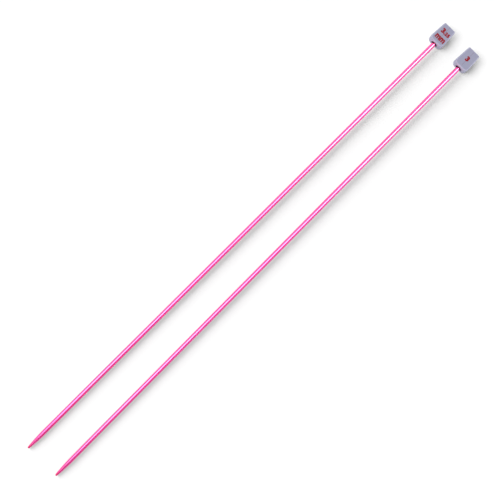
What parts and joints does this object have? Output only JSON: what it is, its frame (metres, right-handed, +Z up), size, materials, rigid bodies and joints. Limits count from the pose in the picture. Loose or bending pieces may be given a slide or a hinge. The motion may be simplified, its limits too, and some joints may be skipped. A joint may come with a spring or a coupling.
{
  "type": "straight knitting needles",
  "caption": "Pair of straight single-pointed knitting needles: slim pink metal shafts with tapered points, each with a tapered block-shaped grey-lilac plastic head as a stopper.",
  "frame": {"origin": "on the surface that the needles lie on, at the middle of the pair's bounding box", "axes": "+X along the middle of the pair, from the points to the heads; +Y towards needle A, across the pair; +Z up"},
  "size_m": [0.3999, 0.034, 0.0082],
  "materials": {
    "anodised_pink": "drawn aluminium rod, dyed pink and anodised, satin gloss",
    "lilac_plastic": "moulded grey-lilac plastic, fine satin grain",
    "size_print": "red pad-printed ink, satin"
  },
  "bodies": {
    "needle_a": {"needle_a_shaft": "anodised_pink", "needle_a_head": "lilac_plastic"},
    "needle_b": {"needle_b_shaft": "anodised_pink", "needle_b_head": "lilac_plastic"}
  },
  "joints": [
    {"name": "needle_b_lift", "type": "slide", "parent": "needle_a", "child": "needle_b", "axis": [0, 0, 1], "range_m": [0, 0.03]}
  ]
}
